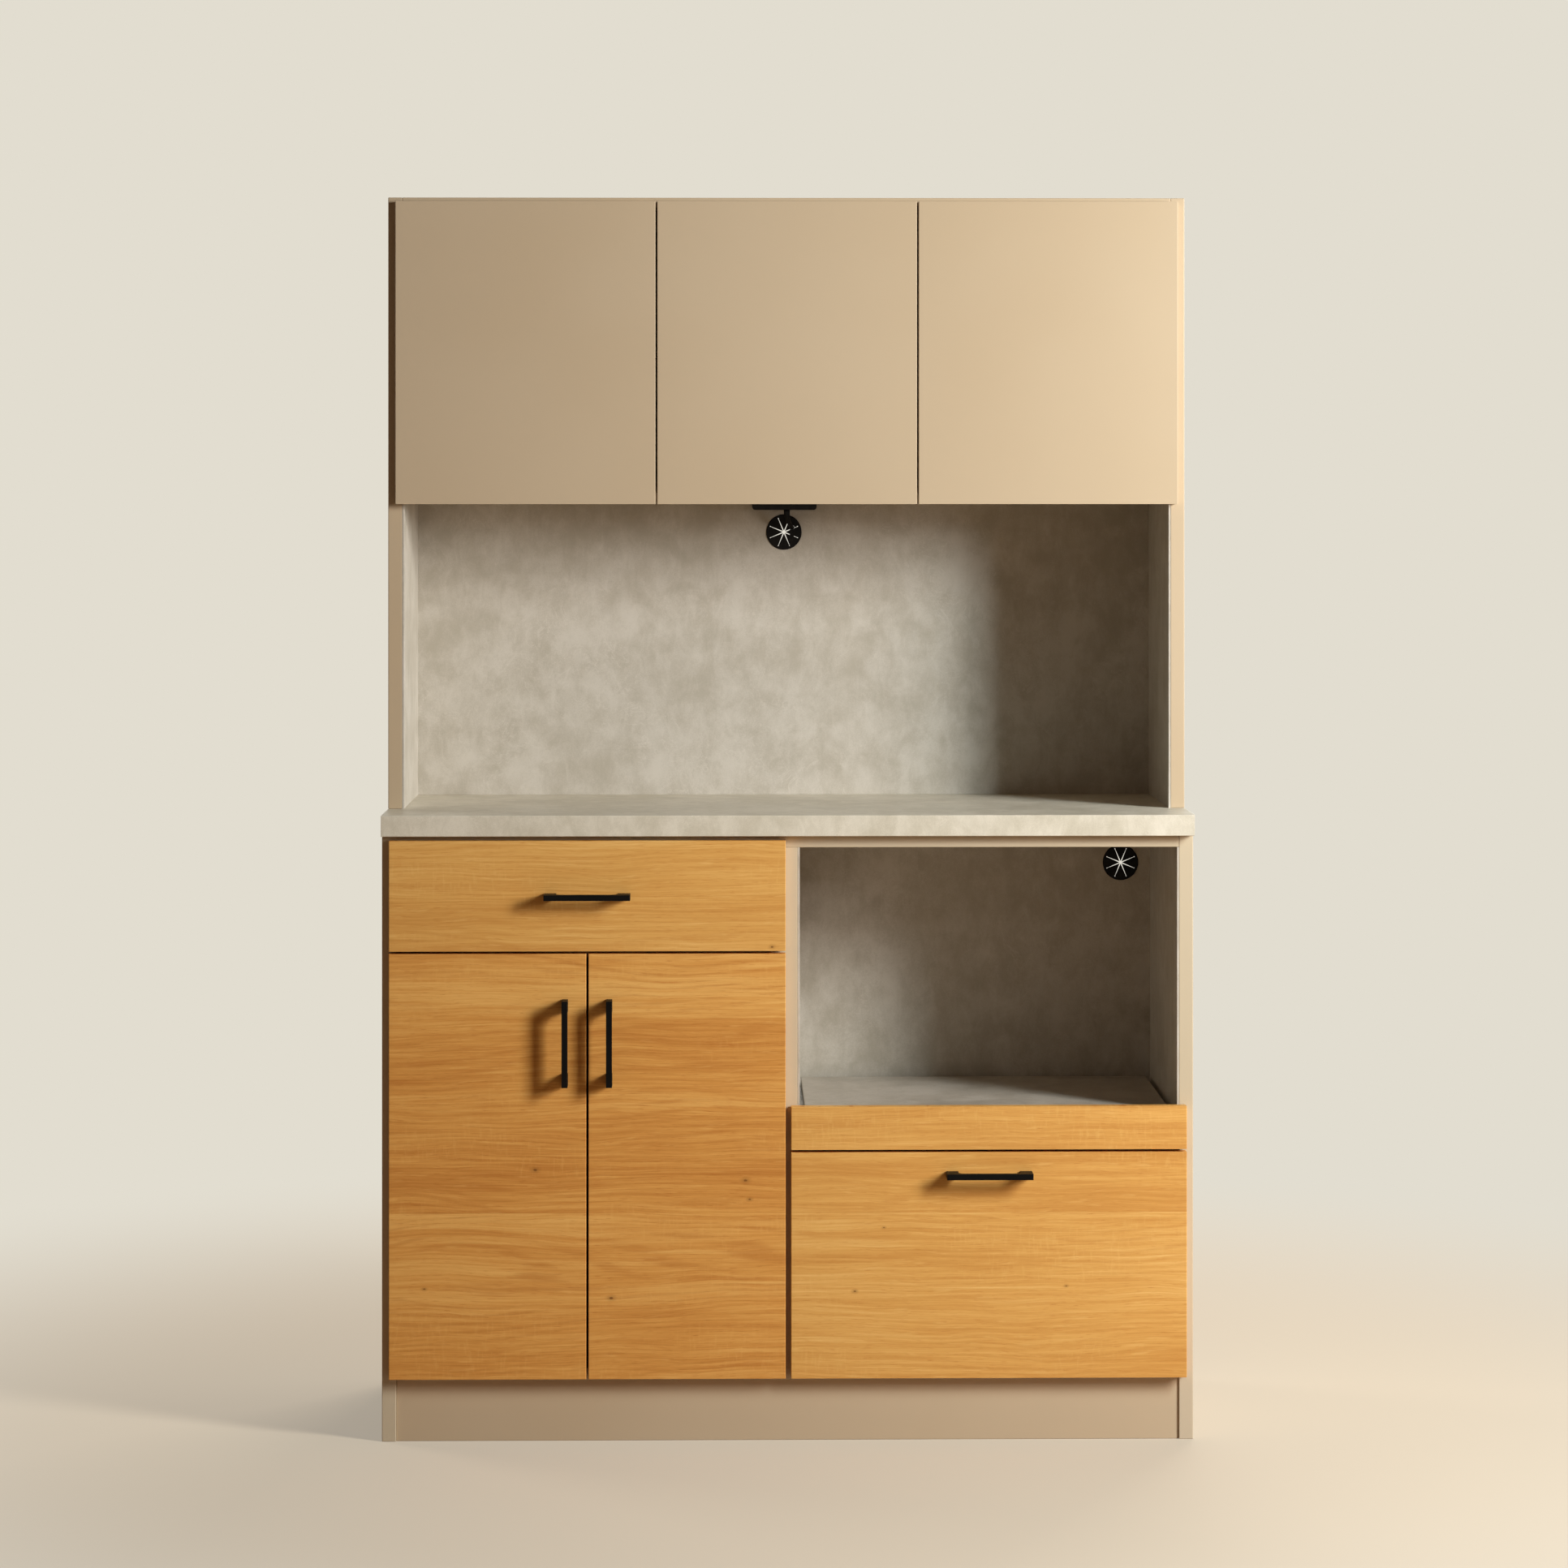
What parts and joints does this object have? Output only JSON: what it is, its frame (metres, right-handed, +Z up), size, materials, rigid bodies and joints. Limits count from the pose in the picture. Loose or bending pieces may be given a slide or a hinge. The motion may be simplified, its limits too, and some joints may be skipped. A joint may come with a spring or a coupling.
{
  "type": "kitchen storage cabinet",
  "caption": "Kitchen cabinet with oak-look drawers and doors, an appliance space with pull-out shelf, a stone-look worktop and an upper cabinet with finger-pull doors.",
  "frame": {"origin": "on the floor, in the middle of the width and of the depth over the handles", "axes": "X to the right seen from the front, Y to the back, Z up"},
  "size_m": [1.2, 0.5975, 1.846],
  "materials": {
    "greige_board": "satin",
    "oak_front": "satin",
    "stone_look_board": "matt",
    "drawer_wood": "matt",
    "zinc_steel": "satin",
    "hinge_steel": "satin",
    "black_metal": "satin",
    "black_rubber": "matt",
    "black_plastic": "satin"
  },
  "bodies": {
    "cabinet": {"lower_side_left": "greige_board", "lower_side_right": "greige_board", "centre_divider": "greige_board", "bottom_board": "greige_board", "lower_top_board": "greige_board", "plinth_boards": "greige_board", "lower_back_board": "stone_look_board", "appliance_linings": "stone_look_board", "drawer_floor_board": "greige_board", "adjustable_shelves": "greige_board", "worktop": "stone_look_board", "upper_side_left": "greige_board", "upper_side_right": "greige_board", "upper_bottom_board": "greige_board", "upper_top_board": "greige_board", "upper_partition": "greige_board", "hutch_linings": "stone_look_board", "hutch_back_board": "stone_look_board", "upper_back_board": "greige_board", "shelf_pins": "hinge_steel", "hinge_plates": "hinge_steel", "hinge_arms": "hinge_steel", "slide_outer_members": "zinc_steel", "cord_grommets": "black_rubber", "socket_housing": "black_plastic", "socket_inserts": "black_plastic", "supply_cord": "black_rubber", "cord_coil": "black_rubber", "plug": "black_plastic"},
    "upper_door_left": {"upper_door_left": "greige_board", "upper_door_left_cups": "hinge_steel"},
    "upper_door_middle": {"upper_door_middle": "greige_board", "upper_door_middle_cups": "hinge_steel"},
    "upper_door_right": {"upper_door_right": "greige_board", "upper_door_right_cups": "hinge_steel"},
    "lower_door_left": {"lower_door_left": "oak_front", "lower_door_left_cups": "hinge_steel", "lower_door_left_handle": "black_metal"},
    "lower_door_right": {"lower_door_right": "oak_front", "lower_door_right_cups": "hinge_steel", "lower_door_right_handle": "black_metal"},
    "drawer": {"drawer_front": "oak_front", "drawer_sides": "drawer_wood", "drawer_ends": "drawer_wood", "drawer_bottom": "drawer_wood", "drawer_handle": "black_metal", "drawer_slide_inner": "zinc_steel"},
    "drawer_runner": {"drawer_slide_middle": "zinc_steel"},
    "deep_drawer": {"deep_drawer_front": "oak_front", "deep_drawer_sides": "drawer_wood", "deep_drawer_ends": "drawer_wood", "deep_drawer_bottom": "drawer_wood", "deep_drawer_handle": "black_metal", "deep_drawer_slide_inner": "zinc_steel"},
    "deep_drawer_runner": {"deep_drawer_slide_middle": "zinc_steel"},
    "pull_out_shelf": {"pull_out_plate": "stone_look_board", "pull_out_strip": "oak_front", "pull_out_battens": "drawer_wood", "pull_out_slide_inner": "zinc_steel"},
    "pull_out_runner": {"pull_out_slide_middle": "zinc_steel"}
  },
  "joints": [
    {"name": "upper_door_left_hinge", "type": "hinge", "parent": "cabinet", "child": "upper_door_left", "pos_m": [-0.5817, -0.0877, 1.612], "axis": [0, 0, -1], "range_deg": [0, 95]},
    {"name": "upper_door_middle_hinge", "type": "hinge", "parent": "cabinet", "child": "upper_door_middle", "pos_m": [0.18883, -0.0877, 1.612], "axis": [0, 0, 1], "range_deg": [0, 95]},
    {"name": "upper_door_right_hinge", "type": "hinge", "parent": "cabinet", "child": "upper_door_right", "pos_m": [0.5817, -0.0877, 1.612], "axis": [0, 0, 1], "range_deg": [0, 95]},
    {"name": "lower_door_left_hinge", "type": "hinge", "parent": "cabinet", "child": "lower_door_left", "pos_m": [-0.5822, -0.2037, 0.40875], "axis": [0, 0, -1], "range_deg": [0, 95]},
    {"name": "lower_door_right_hinge", "type": "hinge", "parent": "cabinet", "child": "lower_door_right", "pos_m": [-0.0103, -0.2037, 0.40875], "axis": [0, 0, 1], "range_deg": [0, 90]},
    {"name": "drawer_slide", "type": "slide", "parent": "cabinet", "child": "drawer", "axis": [0, -1, 0], "range_m": [0, 0.34]},
    {"name": "drawer_runner_slide", "type": "slide", "parent": "cabinet", "child": "drawer_runner", "axis": [0, -1, 0], "range_m": [0, 0.17]},
    {"name": "deep_drawer_slide", "type": "slide", "parent": "cabinet", "child": "deep_drawer", "axis": [0, -1, 0], "range_m": [0, 0.34]},
    {"name": "deep_drawer_runner_slide", "type": "slide", "parent": "cabinet", "child": "deep_drawer_runner", "axis": [0, -1, 0], "range_m": [0, 0.17]},
    {"name": "pull_out_shelf_slide", "type": "slide", "parent": "cabinet", "child": "pull_out_shelf", "axis": [0, -1, 0], "range_m": [0, 0.34]},
    {"name": "pull_out_runner_slide", "type": "slide", "parent": "cabinet", "child": "pull_out_runner", "axis": [0, -1, 0], "range_m": [0, 0.17]}
  ],
  "couplings": [
    {"joint": "drawer_runner_slide", "follows": "drawer_slide", "ratio": 0.5},
    {"joint": "deep_drawer_runner_slide", "follows": "deep_drawer_slide", "ratio": 0.5},
    {"joint": "pull_out_runner_slide", "follows": "pull_out_shelf_slide", "ratio": 0.5}
  ]
}
